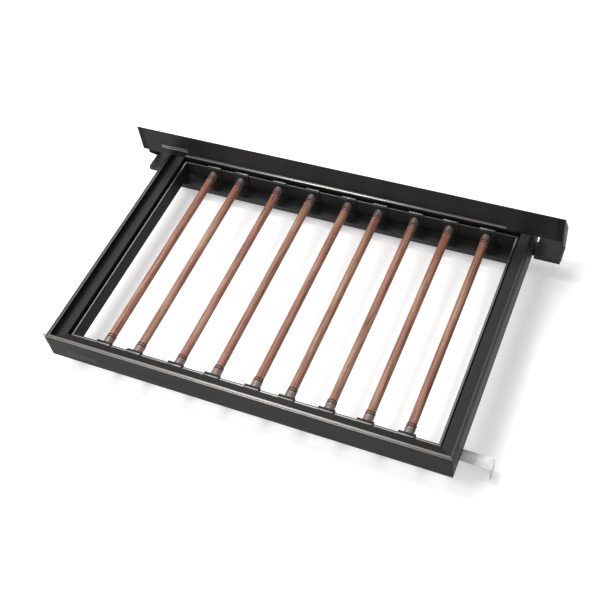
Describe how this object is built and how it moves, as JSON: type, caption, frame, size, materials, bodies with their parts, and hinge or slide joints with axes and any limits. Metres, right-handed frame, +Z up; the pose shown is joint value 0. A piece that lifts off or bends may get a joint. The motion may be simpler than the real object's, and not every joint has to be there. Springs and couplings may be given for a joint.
{
  "type": "pull out trouser rack",
  "caption": "Pull-out trouser rack: black aluminium frame on concealed full-extension runners, with sliding wood-look rods and a fixed rear panel.",
  "frame": {"origin": "middle of the footprint of the whole rack, at the lowest edge of its wall brackets, with the frame pushed in", "axes": "+X to the right along the rear panel, +Y to the rear of the cabinet, +Z up; the frame pulls out along -Y"},
  "size_m": [0.864, 0.528, 0.1662],
  "materials": {
    "frame_profile": "black anodised, fine brushed",
    "panel_profile": "black anodised, fine brushed",
    "zinc_steel": "zinc plated",
    "runner_steel": "zinc plated, rolled",
    "roller_plastic": "natural nylon",
    "black_plastic": "fine grained black",
    "grey_plastic": "moulded dark grey",
    "bar_steel": "dark grey powder coat",
    "bracket_steel": "black powder coat",
    "rod_wrap": "red-brown grained wrap, satin",
    "ferrule_metal": "copper-bronze anodised"
  },
  "bodies": {
    "cabinet_side": {"left_fixed_rail": "runner_steel", "right_fixed_rail": "runner_steel", "soft_close_units": "grey_plastic", "rear_panel": "panel_profile", "panel_end_caps": "black_plastic", "cross_bar": "bar_steel", "rear_brackets": "bracket_steel", "front_brackets": "zinc_steel"},
    "frame": {"front_member": "frame_profile", "rear_member": "frame_profile", "left_member": "frame_profile", "right_member": "frame_profile", "corner_keys": "zinc_steel", "left_carriage": "runner_steel", "right_carriage": "runner_steel", "front_catches": "black_plastic"},
    "left_middle": {"left_middle_rail": "runner_steel"},
    "right_middle": {"right_middle_rail": "runner_steel"},
    "left_lower_cage": {"left_lower_rollers": "roller_plastic"},
    "right_lower_cage": {"right_lower_rollers": "roller_plastic"},
    "left_upper_cage": {"left_upper_rollers": "roller_plastic"},
    "right_upper_cage": {"right_upper_rollers": "roller_plastic"},
    "rod_1": {"rod_tube_1": "rod_wrap", "rod_ferrules_1": "ferrule_metal", "rod_clips_1": "black_plastic"},
    "rod_2": {"rod_tube_2": "rod_wrap", "rod_ferrules_2": "ferrule_metal", "rod_clips_2": "black_plastic"},
    "rod_3": {"rod_tube_3": "rod_wrap", "rod_ferrules_3": "ferrule_metal", "rod_clips_3": "black_plastic"},
    "rod_4": {"rod_tube_4": "rod_wrap", "rod_ferrules_4": "ferrule_metal", "rod_clips_4": "black_plastic"},
    "rod_5": {"rod_tube_5": "rod_wrap", "rod_ferrules_5": "ferrule_metal", "rod_clips_5": "black_plastic"},
    "rod_6": {"rod_tube_6": "rod_wrap", "rod_ferrules_6": "ferrule_metal", "rod_clips_6": "black_plastic"},
    "rod_7": {"rod_tube_7": "rod_wrap", "rod_ferrules_7": "ferrule_metal", "rod_clips_7": "black_plastic"},
    "rod_8": {"rod_tube_8": "rod_wrap", "rod_ferrules_8": "ferrule_metal", "rod_clips_8": "black_plastic"},
    "rod_9": {"rod_tube_9": "rod_wrap", "rod_ferrules_9": "ferrule_metal", "rod_clips_9": "black_plastic"}
  },
  "joints": [
    {"name": "pull_out", "type": "slide", "parent": "cabinet_side", "child": "frame", "axis": [0, -1, 0], "range_m": [0, 0.43]},
    {"name": "left_lower_cage_slide", "type": "slide", "parent": "cabinet_side", "child": "left_lower_cage", "axis": [0, -1, 0], "range_m": [0, 0.1075]},
    {"name": "left_middle_slide", "type": "slide", "parent": "cabinet_side", "child": "left_middle", "axis": [0, -1, 0], "range_m": [0, 0.215]},
    {"name": "left_upper_cage_slide", "type": "slide", "parent": "cabinet_side", "child": "left_upper_cage", "axis": [0, -1, 0], "range_m": [0, 0.3225]},
    {"name": "right_lower_cage_slide", "type": "slide", "parent": "cabinet_side", "child": "right_lower_cage", "axis": [0, -1, 0], "range_m": [0, 0.1075]},
    {"name": "right_middle_slide", "type": "slide", "parent": "cabinet_side", "child": "right_middle", "axis": [0, -1, 0], "range_m": [0, 0.215]},
    {"name": "right_upper_cage_slide", "type": "slide", "parent": "cabinet_side", "child": "right_upper_cage", "axis": [0, -1, 0], "range_m": [0, 0.3225]},
    {"name": "rod_1_slide", "type": "slide", "parent": "frame", "child": "rod_1", "axis": [1, 0, 0], "range_m": [-0.045, 0.0158]},
    {"name": "rod_2_slide", "type": "slide", "parent": "frame", "child": "rod_2", "axis": [1, 0, 0], "range_m": [-0.0158, 0.0263]},
    {"name": "rod_3_slide", "type": "slide", "parent": "frame", "child": "rod_3", "axis": [1, 0, 0], "range_m": [-0.0263, 0.0208]},
    {"name": "rod_4_slide", "type": "slide", "parent": "frame", "child": "rod_4", "axis": [1, 0, 0], "range_m": [-0.0208, 0.0228]},
    {"name": "rod_5_slide", "type": "slide", "parent": "frame", "child": "rod_5", "axis": [1, 0, 0], "range_m": [-0.0228, 0.0168]},
    {"name": "rod_6_slide", "type": "slide", "parent": "frame", "child": "rod_6", "axis": [1, 0, 0], "range_m": [-0.0168, 0.0208]},
    {"name": "rod_7_slide", "type": "slide", "parent": "frame", "child": "rod_7", "axis": [1, 0, 0], "range_m": [-0.0208, 0.0188]},
    {"name": "rod_8_slide", "type": "slide", "parent": "frame", "child": "rod_8", "axis": [1, 0, 0], "range_m": [-0.0188, 0.0203]},
    {"name": "rod_9_slide", "type": "slide", "parent": "frame", "child": "rod_9", "axis": [1, 0, 0], "range_m": [-0.0203, 0.035]}
  ],
  "couplings": [
    {"joint": "left_lower_cage_slide", "follows": "pull_out", "ratio": 0.25},
    {"joint": "left_middle_slide", "follows": "pull_out", "ratio": 0.5},
    {"joint": "left_upper_cage_slide", "follows": "pull_out", "ratio": 0.75},
    {"joint": "right_lower_cage_slide", "follows": "pull_out", "ratio": 0.25},
    {"joint": "right_middle_slide", "follows": "pull_out", "ratio": 0.5},
    {"joint": "right_upper_cage_slide", "follows": "pull_out", "ratio": 0.75}
  ]
}
